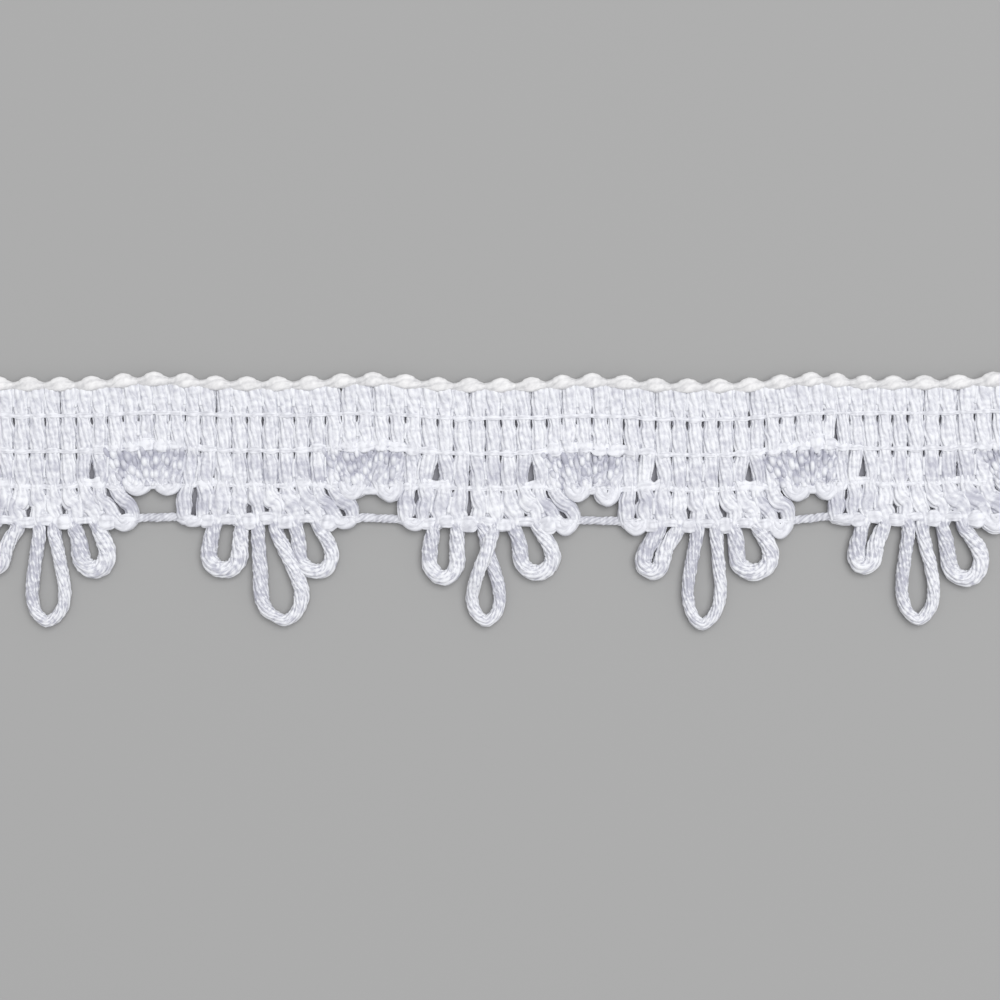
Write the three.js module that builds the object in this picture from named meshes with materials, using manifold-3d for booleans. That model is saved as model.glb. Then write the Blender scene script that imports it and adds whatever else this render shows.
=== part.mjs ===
// Knitted lace trim: a cut length with a ribbed heading, a scalloped lower edge and picot loops.
// Millimetres. X runs along the trim, Y across it with the plain edge at +Y, and Z is up.
// The trim lies flat on z = 0 on the back of its heading, and the origin is under the middle of its box.

import * as THREE from "three";
import { mergeVertices } from "three/addons/utils/BufferGeometryUtils.js";
import Module from "manifold-3d";

// Repeat along the trim
const REPEATS = 5;
const REPEAT = 21.85;
const COLUMNS = 14;
const LENGTH = REPEATS * REPEAT;
const PITCH = REPEAT / COLUMNS;

// Heights of the knit above the surface it lies on
const CREST = 1.35;
const VALLEY = 0.75;
const RIM = 0.7;
const CHAIN_CREST = 1.6;
const CHAIN_VALLEY = 1.25;

// The back lies flat under the heading, and rises to the round yarn turns of both edges
const BACK_UPPER = 8.4;
const BACK_LOWER = 1.35;
const EDGE_LIFT = 0.2;
const LOWER_LIFT = 0.25;

// The hollow at each gap and the proud leaf beside it: heights, and reaches in columns from the gap
const HOLLOW_DROP = 0.3;
const HOLLOW_FLOOR = 0.8;
const HOLLOW_END = 2.8;
const LEAF_RISE = 0.25;
const LEAF_START = 1.6;
const LEAF_TOP = 2.8;
const LEAF_END = 4.8;

// Lines across the trim: the plain edge, the four chain rows and the lower edges
const TURN_BASE = 11.5;
const TURN_RISE = 0.7;
const TURN_SKEW = 0.15;
const TURN_ROUNDNESS = 0.6;
const TURN_INSIDE = 10.7;
const ROW_A = 8.4;
const ROW_B = 4.85;
const ROW_C = 1.35;
const ROW_D = -1.95;
const CHAIN_HALF = 0.3;
const FAN_EDGE = -2.6;
const FAN_TURN_DROP = 0.45;
const GAP_EDGE = 0.7;
const GAP_TURN_DROP = 0.75;
const GAP_SIDE_INSET = 0.25;
const GAP_SIDE_SHARPNESS = 8;

// How far each line bows up at the gaps between scallops
const EDGE_BOW = 0.5;
const ROW_A_BOW = 0.3;
const ROW_B_BOW = 0.75;

// The fan of columns that reaches the bottom chain, counted and measured from the repeat's left end
const FAN_FIRST = 2;
const FAN_LAST = 12;
const FAN_LEFT = 2.55;
const FAN_RIGHT = 20.65;
const FAN_SPREAD_TOP = 0.05;
const FAN_SPREAD_LOW = 0.9;

// Yarn of the picot loops, and the bare chain across each gap
const LOOP_HALF_WIDTH = 0.8;
const LOOP_HALF_HEIGHT = 0.62;
const LOOP_ROOT_INSIDE = 0.35;
const LOOP_LAY = 22;
const LEG_STEP = 3.0;
const TIP_STEP = 1.0;
const QUARTER_ARC = Math.SQRT1_2;
const CROSS_LIFT = 1.3;
const CORD_RADIUS = 0.32;
const CORD_HEIGHT = 0.6;
const CORD_INSIDE = 1.1;
const CORD_LAY = 4.5;
const CORD_STEP = 1.0;
const ROPE_LOBES = 3;
const ROPE_GROOVE = 0.86;

// Points across one weft column, as shares of its width
const COLUMN_POINTS = [0, 0.3, 0.7];

// Names the columns of a short table
function table(names, rows) {
  return rows.map((row) => Object.fromEntries(names.map((name, i) => [name, row[i]])));
}

// How far each scallop wanders up and along from an even trim
const SCALLOPS = table(
  ["lift", "shift"],
  [
    [0.0, 0.0],
    [0.1, -0.1],
    [-0.2, 0.1],
    [-0.35, 0.2],
    [0.3, -0.8],
  ],
);

// Centre line of each picot loop: along from the scallop's middle, and down from the bottom chain.
// The yarn comes down the first leg and goes back up the second one.
const LOOPS = table(
  ["scallop", "firstRoot", "secondRoot", "firstBelly", "secondBelly", "bellyDrop", "tip", "tipDrop"],
  [
    [0, -5.4, -3.0, -6.1, -4.3, 3.8, -5.3, 5.0],
    [0, -0.9, 1.0, -1.4, 1.8, 7.7, 0.1, 9.9],
    [0, 3.1, 5.3, 3.7, 6.4, 3.4, 5.0, 5.2],
    [1, -5.1, -2.3, -5.5, -2.3, 3.5, -4.0, 5.0],
    [1, -0.6, 1.6, -0.4, 3.8, 7.6, 2.2, 9.9],
    [1, 3.2, 5.5, 3.8, 6.6, 3.5, 5.4, 5.2],
    [2, -4.9, -2.6, -5.3, -2.4, 3.9, -3.8, 5.9],
    [2, -0.3, 1.5, 1.8, -1.0, 8.0, 0.5, 9.9],
    [2, 3.3, 5.5, 3.6, 6.9, 3.7, 5.5, 5.4],
    [3, -4.4, -2.3, -5.7, -4.0, 4.2, -4.8, 5.3],
    [3, -0.8, 1.3, -1.3, 1.9, 7.4, 0.0, 10.1],
    [3, 3.4, 5.7, 3.7, 6.9, 3.5, 5.3, 5.4],
    [4, -6.1, -3.3, -6.5, -4.6, 3.6, -5.6, 4.7],
    [4, -1.5, 0.4, -1.7, 1.3, 7.2, -0.2, 9.5],
    [4, 2.4, 4.3, 3.2, 6.2, 3.9, 4.9, 6.0],
  ],
);

const lerp = THREE.MathUtils.lerp;
const smoothstep = THREE.MathUtils.smoothstep;

// A place along the trim is counted in weft columns from its left end
function repeatOf(column) {
  return Math.min(Math.floor(column / COLUMNS), REPEATS - 1);
}

function alongTrim(column) {
  const repeat = repeatOf(column);
  const share = column / COLUMNS - repeat;
  const wander = SCALLOPS[repeat].shift * Math.sin(Math.PI * share) ** 2;
  return column * PITCH - LENGTH / 2 + wander;
}

// How far the trim wanders up or down, smoothly from one scallop's middle to the next
function liftAt(column) {
  const place = THREE.MathUtils.clamp(column / COLUMNS - 0.5, 0, REPEATS - 1);
  const before = Math.floor(place);
  const after = Math.min(before + 1, REPEATS - 1);
  return lerp(SCALLOPS[before].lift, SCALLOPS[after].lift, smoothstep(place - before, 0, 1));
}

// 1 at the middle of a gap, 0 at the middle of a scallop
function gapShare(column) {
  return ((1 + Math.cos((2 * Math.PI * column) / COLUMNS)) / 2) ** 2;
}

function rowHeight(line, bow, column) {
  return line + bow * gapShare(column) + liftAt(column);
}

// Rounded outline of a yarn that turns back over a pair of columns, as a share of its height
function turnShape(share) {
  return Math.sin(Math.PI * THREE.MathUtils.clamp(share, 0, 1)) ** TURN_ROUNDNESS;
}

// The columns inside a gap lie hollow between two chain rows, and those beside it stand proud
function leafHeight(column) {
  const fromGap = Math.abs(column - COLUMNS * Math.round(column / COLUMNS));
  const hollow = 1 - smoothstep(fromGap, HOLLOW_FLOOR, HOLLOW_END);
  const proud = smoothstep(fromGap, LEAF_START, LEAF_TOP) - smoothstep(fromGap, LEAF_TOP, LEAF_END);
  return LEAF_RISE * proud - HOLLOW_DROP * hollow;
}

function isBetweenColumns(column) {
  return Number.isInteger(column);
}

function ribHeight(column) {
  return isBetweenColumns(column) ? VALLEY : CREST;
}

function chainHeight(column) {
  return isBetweenColumns(column) ? CHAIN_VALLEY : CHAIN_CREST;
}

// Places of the surface's points between two column boundaries
function columnPlaces(first, last) {
  const places = [];
  for (let column = first; column < last; column += 1) {
    places.push(...COLUMN_POINTS.map((share) => column + share));
  }
  places.push(last);
  return places;
}

// Surface rows, each a function from a place along the trim to a point
function bandRow(line, bow, heightAt) {
  return (column) => [alongTrim(column), rowHeight(line, bow, column), heightAt(column)];
}

function plainEdgeRow(column) {
  const even = ((column + 1) / 2) % 1;
  const share = even - TURN_SKEW * Math.sin(Math.PI * even);
  const y = rowHeight(TURN_BASE, EDGE_BOW, column) + TURN_RISE * turnShape(share);
  return [alongTrim(column), y, RIM];
}

function chainRows(line, bow, heightBeside) {
  return [
    bandRow(line + CHAIN_HALF, bow, heightBeside.above),
    bandRow(line, bow, chainHeight),
    bandRow(line - CHAIN_HALF, bow, heightBeside.below),
  ];
}

const leafRib = (column) => ribHeight(column) + leafHeight(column);

const rowsA = chainRows(ROW_A, ROW_A_BOW, { above: ribHeight, below: ribHeight });
const rowsB = chainRows(ROW_B, ROW_B_BOW, { above: ribHeight, below: leafRib });
const rowsC = chainRows(ROW_C, 0, { above: leafRib, below: ribHeight });
const turnInside = bandRow(TURN_INSIDE, EDGE_BOW, ribHeight);

const bandRows = [plainEdgeRow, turnInside, ...rowsA, ...rowsB, rowsC[0], rowsC[1]];

// Columns of a fan spread from the third chain row down to the bottom one
function fanRow(line, share, heightAt, edgeDrop) {
  return (column) => {
    const repeat = repeatOf(column - 1);
    const inFan = (column - repeat * COLUMNS - FAN_FIRST) / (FAN_LAST - FAN_FIRST);
    const spread = repeat * REPEAT - LENGTH / 2 + lerp(FAN_LEFT, FAN_RIGHT, inFan);
    const y = line + liftAt(column) - edgeDrop * fanTurn(inFan);
    const rise = (LOWER_LIFT * (ROW_C - line)) / (ROW_C - FAN_EDGE);
    return [lerp(alongTrim(column), spread, share), y, heightAt(column) + rise];
  };
}

// The outer pair of columns on each side of a fan turns back below the bottom chain
function fanTurn(inFan) {
  const pairs = (FAN_LAST - FAN_FIRST) / 2;
  const pair = inFan * pairs;
  const outer = pair <= 1 || pair >= pairs - 1;
  return outer ? turnShape(pair <= 1 ? pair : pair - (pairs - 1)) : 0;
}

const rimHeight = () => RIM;

const fanRows = [
  rowsC[1],
  fanRow(ROW_C - CHAIN_HALF, FAN_SPREAD_TOP, ribHeight, 0),
  fanRow(ROW_D + CHAIN_HALF, FAN_SPREAD_LOW, ribHeight, 0),
  fanRow(ROW_D, 1, chainHeight, 0),
  fanRow(FAN_EDGE, 1, rimHeight, FAN_TURN_DROP),
];

// Pairs of columns that turn back at the third chain row leave the gap open below them
function gapEdgeRow(column) {
  const fromGap = column - COLUMNS * Math.round(column / COLUMNS);
  const share = (fromGap / 2 + 2) % 1;
  const inset = (fromGap / FAN_FIRST) ** GAP_SIDE_SHARPNESS * Math.sign(fromGap) * GAP_SIDE_INSET;
  const y = GAP_EDGE + liftAt(column) - GAP_TURN_DROP * turnShape(share);
  return [alongTrim(column) - inset, y, RIM + LOWER_LIFT];
}

const gapRows = [rowsC[1], rowsC[2], gapEdgeRow];

// Collects the triangles of a closed surface
const corners = [];

function triangle(a, b, c) {
  corners.push(...a, ...b, ...c);
}

function quad(a, b, c, d) {
  triangle(a, b, c);
  triangle(a, c, d);
}

// Rows of the back, from the plain edge down, that lie under the first and last rows of a face
const backUpper = (column) => [alongTrim(column), BACK_UPPER, 0];
const backLower = (column) => [alongTrim(column), BACK_LOWER, 0];

function backUnder(row, height) {
  return (column) => {
    const [x, y] = row(column);
    return [x, y, height];
  };
}

const bandBack = [backUnder(plainEdgeRow, EDGE_LIFT), backUpper, backLower];
const fanBack = [backLower, backUnder(fanRows[fanRows.length - 1], LOWER_LIFT)];
const gapBack = [backLower, backUnder(gapEdgeRow, LOWER_LIFT)];

// A stretch of knit: its raised face, its back, walls at both ends, and a wall along the edge named open
function knitPatch(faceRows, backRows, first, last, openEdge) {
  const places = columnPlaces(first, last);
  const face = faceRows.map((row) => places.map(row));
  const back = backRows.map((row) => places.map(row));
  const lastFace = face[face.length - 1];
  const lastBack = back[back.length - 1];
  for (let p = 0; p + 1 < places.length; p += 1) {
    for (let r = 0; r + 1 < face.length; r += 1) {
      quad(face[r][p], face[r + 1][p], face[r + 1][p + 1], face[r][p + 1]);
    }
    for (let r = 0; r + 1 < back.length; r += 1) {
      quad(back[r][p + 1], back[r + 1][p + 1], back[r + 1][p], back[r][p]);
    }
    if (openEdge === "top") {
      quad(face[0][p], face[0][p + 1], back[0][p + 1], back[0][p]);
    } else {
      quad(lastFace[p + 1], lastFace[p], lastBack[p], lastBack[p + 1]);
    }
  }
  const end = places.length - 1;
  endWall(face.map((row) => row[0]), back.map((row) => row[0]), true);
  endWall(face.map((row) => row[end]), back.map((row) => row[end]), false);
}

// A wall between one end of a face and of its back, as a fan of triangles round a point of the back
function endWall(face, back, facesLeft) {
  const hub = Math.floor((back.length - 1) / 2);
  const above = back.slice(0, hub).reverse();
  const below = back.slice(hub + 1).reverse();
  const outline = [...above, ...face, ...below];
  for (let i = 0; i + 1 < outline.length; i += 1) {
    if (facesLeft) {
      triangle(back[hub], outline[i + 1], outline[i]);
    } else {
      triangle(back[hub], outline[i], outline[i + 1]);
    }
  }
}

function headingGeometry() {
  knitPatch(bandRows, bandBack, 0, REPEATS * COLUMNS, "top");
  for (let repeat = 0; repeat < REPEATS; repeat += 1) {
    const start = repeat * COLUMNS;
    knitPatch(fanRows, fanBack, start + FAN_FIRST, start + FAN_LAST, "bottom");
  }
  for (let gap = 0; gap <= REPEATS; gap += 1) {
    const middle = gap * COLUMNS;
    const first = Math.max(middle - FAN_FIRST, 0);
    const last = Math.min(middle + FAN_FIRST, REPEATS * COLUMNS);
    knitPatch(gapRows, gapBack, first, last, "bottom");
  }
  const geometry = new THREE.BufferGeometry();
  geometry.setAttribute("position", new THREE.Float32BufferAttribute(corners, 3));
  return mergeVertices(geometry);
}

// A twisted yarn with a ring at each place on a curve: its raised strands turn once in each lay
function ropeGeometry(path, places, lay, halfWidth, halfHeight) {
  const steps = places.length - 1;
  const sides = 2 * ROPE_LOBES;
  const up = new THREE.Vector3(0, 0, 1);
  const positions = [];
  const indices = [];
  let travelled = 0;
  let previous = path.getPoint(0);
  for (const place of places) {
    const centre = path.getPoint(place);
    const across = new THREE.Vector3().crossVectors(up, path.getTangent(place)).normalize();
    travelled += centre.distanceTo(previous);
    previous = centre;
    for (let k = 0; k < sides; k += 1) {
      const angle = 2 * Math.PI * (k / sides + travelled / lay);
      const reach = k % 2 === 0 ? 1 : ROPE_GROOVE;
      const point = centre.clone();
      point.addScaledVector(across, halfWidth * reach * Math.cos(angle));
      point.addScaledVector(up, halfHeight * reach * Math.sin(angle));
      positions.push(point.x, point.y, point.z);
    }
  }
  for (let s = 0; s < steps; s += 1) {
    for (let k = 0; k < sides; k += 1) {
      const a = s * sides + k;
      const b = s * sides + ((k + 1) % sides);
      indices.push(a, b, b + sides, a, b + sides, a + sides);
    }
  }
  const lastRing = steps * sides;
  for (let k = 1; k + 1 < sides; k += 1) {
    indices.push(0, k + 1, k);
    indices.push(lastRing, lastRing + k, lastRing + k + 1);
  }
  const geometry = new THREE.BufferGeometry();
  geometry.setAttribute("position", new THREE.Float32BufferAttribute(positions, 3));
  geometry.setIndex(indices);
  return geometry;
}

// Places on a curve through points: short steps from belly to belly round the tip, long ones on the legs
function loopPlaces(points, firstBelly, secondBelly) {
  const stretches = points.length - 1;
  const places = [0];
  for (let i = 0; i < stretches; i += 1) {
    const step = i >= firstBelly && i < secondBelly ? TIP_STEP : LEG_STEP;
    const count = Math.ceil(points[i].distanceTo(points[i + 1]) / step);
    for (let j = 1; j <= count; j += 1) {
      places.push((i + j / count) / stretches);
    }
  }
  return places;
}

function scallopMiddle(scallop) {
  return (scallop + 0.5) * REPEAT - LENGTH / 2;
}

// A crossed loop lifts its second leg over its first, about half-way down to the belly
function loopGeometry(loop) {
  const middle = scallopMiddle(loop.scallop);
  const rootDrop = -LOOP_ROOT_INSIDE - SCALLOPS[loop.scallop].lift;
  const crossed = loop.firstBelly > loop.secondBelly;
  const at = (along, drop, lift) =>
    new THREE.Vector3(middle + along, ROW_D - drop, LOWER_LIFT + LOOP_HALF_HEIGHT + lift);
  const halfDrop = loop.bellyDrop / 2;
  const firstHalf = (loop.firstRoot + loop.firstBelly) / 2;
  const secondHalf = (loop.secondRoot + loop.secondBelly) / 2;
  const firstBelly = at(loop.firstBelly, loop.bellyDrop, 0);
  const secondBelly = at(loop.secondBelly, loop.bellyDrop, 0);
  const shoulderDrop = lerp(loop.bellyDrop, loop.tipDrop, QUARTER_ARC);
  const points = [
    at(loop.firstRoot, rootDrop, 0),
    at(firstHalf, halfDrop, 0),
    firstBelly,
    at(lerp(loop.tip, loop.firstBelly, QUARTER_ARC), shoulderDrop, 0),
    at(loop.tip, loop.tipDrop, 0),
    at(lerp(loop.tip, loop.secondBelly, QUARTER_ARC), shoulderDrop, 0),
    secondBelly,
    at(secondHalf, halfDrop, crossed ? CROSS_LIFT : 0),
    at(loop.secondRoot, rootDrop, 0),
  ];
  const path = new THREE.CatmullRomCurve3(points);
  const places = loopPlaces(points, points.indexOf(firstBelly), points.indexOf(secondBelly));
  return ropeGeometry(path, places, LOOP_LAY, LOOP_HALF_WIDTH, LOOP_HALF_HEIGHT);
}

// The bottom chain runs on by itself across each gap, and is cut off at the trim's two ends
function cordGeometry(gap) {
  const gapStart = gap === 0 ? -LENGTH / 2 : (gap - 1) * REPEAT - LENGTH / 2 + FAN_RIGHT - CORD_INSIDE;
  const gapEnd = gap === REPEATS ? LENGTH / 2 : gap * REPEAT - LENGTH / 2 + FAN_LEFT + CORD_INSIDE;
  const startColumn = (gap - 1) * COLUMNS + FAN_LAST;
  const endColumn = gap * COLUMNS + FAN_FIRST;
  const startY = ROW_D + liftAt(gap === 0 ? 0 : startColumn);
  const endY = ROW_D + liftAt(gap === REPEATS ? REPEATS * COLUMNS : endColumn);
  const path = new THREE.LineCurve3(
    new THREE.Vector3(gapStart, startY, CORD_HEIGHT),
    new THREE.Vector3(gapEnd, endY, CORD_HEIGHT),
  );
  const steps = Math.round(path.getLength() / CORD_STEP);
  const places = Array.from({ length: steps + 1 }, (_, s) => s / steps);
  return ropeGeometry(path, places, CORD_LAY, CORD_RADIUS, CORD_RADIUS);
}

// Joins the heading, the loops and the bare chain into one knitted piece
const wasm = await Module();
wasm.setup();

function solidOf(geometry) {
  const vertProperties = new Float32Array(geometry.getAttribute("position").array);
  const triVerts = new Uint32Array(geometry.getIndex().array);
  return new wasm.Manifold(new wasm.Mesh({ numProp: 3, vertProperties, triVerts }));
}

function geometryOf(solid) {
  const mesh = solid.getMesh();
  const geometry = new THREE.BufferGeometry();
  geometry.setAttribute("position", new THREE.BufferAttribute(mesh.vertProperties, 3));
  geometry.setIndex(new THREE.BufferAttribute(mesh.triVerts, 1));
  geometry.computeVertexNormals();
  return geometry;
}

let trimSolid = solidOf(headingGeometry());
for (const loop of LOOPS) {
  trimSolid = trimSolid.add(solidOf(loopGeometry(loop)));
}
for (let gap = 0; gap <= REPEATS; gap += 1) {
  trimSolid = trimSolid.add(solidOf(cordGeometry(gap)));
}

const whiteYarn = new THREE.MeshStandardMaterial({ color: 0xf3f3f6, roughness: 0.6, metalness: 0 });

const lace_trim = new THREE.Mesh(geometryOf(trimSolid), whiteYarn);
lace_trim.name = "lace_trim";

const part = new THREE.Group();
part.add(lace_trim);

export default part;
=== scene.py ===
"""Knitted lace trim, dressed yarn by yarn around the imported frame.

One filling yarn of many fine plies runs up and down in columns, bound by chain rows of a thinner thread.
It turns back at the plain edge and at the lower edge, where it also makes the picot loops.
Sizes are in millimetres unless a heading says metres. A place along the trim is counted in columns from its
left end, and a boundary is the line between a column and the one before it.
"""

import math

import bpy
import numpy as np
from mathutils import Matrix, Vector


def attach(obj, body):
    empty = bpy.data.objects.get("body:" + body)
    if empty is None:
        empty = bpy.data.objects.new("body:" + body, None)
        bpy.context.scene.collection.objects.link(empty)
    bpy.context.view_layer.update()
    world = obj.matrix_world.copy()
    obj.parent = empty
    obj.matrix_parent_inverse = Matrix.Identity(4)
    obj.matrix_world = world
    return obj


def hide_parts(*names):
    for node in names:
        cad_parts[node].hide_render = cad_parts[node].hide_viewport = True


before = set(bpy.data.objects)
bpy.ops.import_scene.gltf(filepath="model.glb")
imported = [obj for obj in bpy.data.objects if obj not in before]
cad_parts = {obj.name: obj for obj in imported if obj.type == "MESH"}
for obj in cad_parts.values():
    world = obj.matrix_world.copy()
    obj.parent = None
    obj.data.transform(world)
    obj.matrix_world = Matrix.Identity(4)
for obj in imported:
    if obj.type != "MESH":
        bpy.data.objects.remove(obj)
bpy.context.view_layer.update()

NODE = "lace_trim"
BODY = "root"
MM = 0.001
FULL_TURN = 2 * math.pi
TINY = 1e-9

# Seeds of all that is uneven; each filling yarn adds the number of its repeat
SEEDS = {
    "looseness": 7,
    "pinch": 8,
    "blotch": 9,
    "filling": 7,
    "chain_a": 18,
    "chain_b": 19,
    "chain_c": 20,
    "chain_d": 21,
    "edge_turns": 57,
    "crescents": 67,
    "leaf_plies": 77,
    "bridge_plies": 87,
}

# Repeat along the trim
REPEATS = 5
REPEAT = 21.85
COLUMNS = 14
ALL_COLUMNS = REPEATS * COLUMNS
LENGTH = REPEATS * REPEAT
PITCH = REPEAT / COLUMNS

# Columns of a repeat, counted from a gap's middle: the leaf-shaped patch at the gaps, its sides, and the fan
LEAF_COLUMNS = (12, 13, 0, 1)
BESIDE_LEAF = (2, 3, 10, 11)
WEDGE_COLUMNS = (3, 4, 9, 10)
FAN_FIRST = 2
FAN_LAST = 11
FAN_BOUNDARIES = range(FAN_FIRST + 1, FAN_LAST + 1)
LOOP_FIRST = 4
LOOPS_EACH = 3

# Lines across the trim, and how far each one bows up at the gaps between scallops
EDGE_LINE, EDGE_BOW = 11.75, 0.5
ROW_A, ROW_A_BOW = 8.4, 0.3
ROW_B, ROW_B_BOW = 4.85, 0.75
ROW_C = 1.35
ROW_D = -1.95
CHAIN_ROWS = "abcd"

# Every tube of yarn: clearance from the floor, range of its UV start, and waves in a slow wobble
FLOOR_CLEAR = 0.01
UV_RANGE = 100.0
DRIFT_WAVES = 3

# Plies of a rope: how they differ in whiteness, painted shade in a groove, and how they stray and swell
PLY_TINT = 0.16
GROOVE_SHADE = 0.36
PLY_WANDER = 0.16
PLY_DRIFT = (3.0, 9.0)
SWELL_DRIFT = (2.0, 6.0)

# Grains into which a ply swells along its length, with painted light on each swell and painted shade between
GRAIN_LENGTHS = (0.8, 1.4)
GRAIN_SHIFT = 0.4
GRAIN_DRIFT = (1.5, 4.0)
GRAIN_SWELL = 0.05
GRAIN_LIGHT_AND_SHADE = 0.35

# Corners of one lobe of a rope: share of the way to the next crest, and share of the groove's depth
ROPE_PROFILE = ((0.0, 0.0), (0.28, 0.3), (0.5, 1.0), (0.72, 0.3))

# Filling yarn: a flat bundle of plies, drawn in where a chain row binds it
PLIES = 9
YARN_STEP = 0.2
YARN_HEIGHT = 0.75
HALF_HEIGHT = 0.5
HALF_HEIGHT_BOUND = 0.45
PINCHES = (0.11, 0.09, 0.08, 0.16)
PINCH_DROPS = (0.65, 0.4, 0.0, 0.0)
WEDGE_SHUT = -0.1
BIND_REACH = 1.45
THIRD_REACH = 0.85
COLUMN_SHAKE = 0.03
LAY_COLUMN = 26.0
LAY_LOOP = 14.0
LAY_LEAF = 14.0
LEFT_LEAN = 0.8

# Shades of the columns below the second chain, from 0 for the lit colour towards 1 for the shaded one
LOW_SHADE = 0.2
SHADE_SPREAD = 0.16
FAN_SHADE = 0.03
FAN_END_SHADES = {2: 0.4, 3: 0.4, 4: 0.25, 9: 0.15, 10: 0.35, 11: 0.35}

# Turns of the filling yarn at the lower edge
TURN_HALF_MOST = 0.76
TURN_HALF_LEAST = 0.45
TURN_HALF_SHARE = 0.55
TURN_REACH_LEAST = 0.15

# Picot loops
ROOT_DROP = 0.6
LOOP_HALF_ROOT = 0.72
LOOP_HALF_TIP = 0.6
LOOP_HALF_HEIGHT = 0.58
LONG_LOOP_DROP = 8.0
LONG_LOOP_POINT = 1.3
LEG_SHARES = (0.4, 0.72)
LOOP_DEGREES = 30
FIRST_LEG_SHADE = 0.05
SECOND_LEG_SHADE = -0.35
CROSS_LIFT = 0.95

# Finish of the filling yarn: groove between plies, grains along a ply, roundness, flecks, painted shade on
# top
COLUMN_FINISH = (0.2, 0.6, 0.85, 1.4, 0.0)
LOOP_FINISH = (0.2, 1.0, 0.95, 3.0, 0.25)
LEAF_FINISH = (0.2, 0.4, 0.85, 1.6, 0.0)

# Chain thread: a soft cord over the columns on the face and one strand under them on the back
CHAIN_PLIES = 5
CHAIN_GROOVE = 0.15
CHAIN_GRAIN = 0.8
CHAIN_HALF_WIDTH = 0.29
CHAIN_HALF_HEIGHT = 0.1
CHAIN_STEP = 0.15
CHAIN_LAY = 60.0
CHAIN_CREST = 1.13
CHAIN_FLAT = 0.3
CHAIN_DIP = 0.97
CHAIN_DIP_SIZE = 0.7
CHAIN_SHAKE = 0.05
CHAIN_SIZE_SPREAD = 0.2
CHAIN_SWELL_HEIGHT = 0.35
CHAIN_GAP_SWELL = 1.9
CHAIN_GAP_SHADE = -0.18
CHAIN_SINK = 0.3
THIRD_CHAIN_SIZE = 1.4
THIRD_CHAIN_SINK = 0.07
WEDGE_LUMP = 2.2
WEDGE_RISE = 0.35
BOTTOM_CHAIN_SWELL = 0.7
BACK_SIDES = 5
BACK_RADIUS = 0.12
BACK_CREST = 0.14
BACK_DIP = 0.5

# Twisted cord of a chain where it runs bare; its span and start are in columns
CORD_SPAN = 2.2
CORD_START = 0.7
CORD_SIZE = 1.5
CORD_GROOVE = 0.3
CORD_LAY = 3.0
CORD_RISE = 0.2
CORD_HEIGHT = 0.7
BACK_CORD_HEIGHT = 0.5
CORD_SHADE = 0.38

# Turns of the plain edge
EDGE_PLIES = 4
EDGE_GROOVE = 0.08
EDGE_HALF_WIDTH = 0.62
EDGE_HALF_HEIGHT = 0.4
EDGE_LAY = 12.0
EDGE_STEP = 0.15
EDGE_LIFT_SHARE = 0.5
EDGE_NECK_SHADE = 0.5
COLUMN_TUCK = 0.6
NECK_TUCK = 0.38
NECK_HEIGHT = 0.5
NECK_HALVES = (0.35, 0.35)
TURN_TUCK = 0.2
TURN_HEIGHT = 0.45
TURN_HALVES = (0.28, 0.3)

# Crescents of the lower turns, and the links between the two turns of a gap
CRESCENT_HALF_WIDTH = 0.48
CRESCENT_HALF_HEIGHT = 0.36
CRESCENT_SHARES = (1.0, 0.4)
CRESCENT_REACH_LEAST = 0.1
LINK_HALF_WIDTH = 0.45
LINK_HALF_HEIGHT = 0.3
LINK_HEIGHT = 0.85

# Loose plies: sides and step of their tubes
PLY_SIDES = 8
PLY_STEP = 0.12

# Loose plies on the patches above the gaps: first one from a gap's middle, spacing, lean of each, and looks
LEAF_PLY_FIRST = -5.0
LEAF_PLY_SPACING = 0.65
LEAF_PLY_LEANS = (1.9, 1.7, 1.5, 1.3, 1.1, 0.8, 0.5, 0.25, 0.1, -0.1, -0.3, -0.4, -0.5)
LEAF_PLY_RADII = (0.17, 0.33)
LEAF_PLY_HEIGHT = 0.86
LEAF_PLY_SHAKE = 0.06
LEAF_PLY_WAVE = 0.15
LEAF_PLY_PERIODS = (1.0, 1.6)
LEAF_PLY_STAGGER = 0.5
LEAF_PLY_PHASE = 0.15
# Painted shade on the patches, deeper towards their top, and painted light where a ply comes up
LEAF_PLY_SHADE = 0.72
LEAF_PLY_TOP_SHADE = 0.35
LEAF_PLY_SPREAD = 0.4
LEAF_PLY_DRIFT = (1.5, 4.0)
LEAF_PLY_LIGHT_AND_SHADE = 0.6
END_CLEAR = 1.5

# Loose plies that bridge two columns pressed together
BRIDGE_RADII = (0.13, 0.2)
BRIDGE_HEIGHT = 1.05
BRIDGE_LIMIT = -0.16
BRIDGE_TRIM = 0.85
BRIDGE_WANDER = 0.06
BRIDGE_DRIFT = (2.0, 5.0)
BRIDGE_SWELL = 0.15
BRIDGE_SWELL_DRIFT = (1.0, 3.0)
BRIDGE_TINT = 0.15
BRIDGE_TINT_DRIFT = (0.6, 2.0)

# Web inside the heading; its inset and the two ends of its fans are in columns
WEB_PER_COLUMN = 3
WEB_INSET = 0.35
WEB_THICKNESS = 0.12
WEB_TOP_TUCK = 0.8
WEB_LOW_REACH = 0.2
WEB_HEIGHT = 0.4
WEB_RIB = 0.1
WEB_FAN = (2.4, 11.6)
WEB_FAN_ROWS = (0.5, 1.0)
# Dark colour of the web: painted shade for the deep slits
WEB_SHADE_COLOR = (0.26, 0.26, 0.29)
WEB_ROUGHNESS = 0.9

# Yarns: colour in the light and in the shade, roughness, and relief of the fibres
YARNS = {
    "lustrous_yarn": ((0.8, 0.81, 0.85), (0.45, 0.455, 0.53), 0.45, 0.05),
    "chain_thread": ((0.82, 0.83, 0.88), (0.46, 0.465, 0.52), 0.7, 0.03),
    "matte_thread": ((0.84, 0.835, 0.845), (0.45, 0.45, 0.47), 0.8, 0.03),
}
SHEEN = 0.1
SHEEN_ROUGHNESS = 0.4
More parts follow.
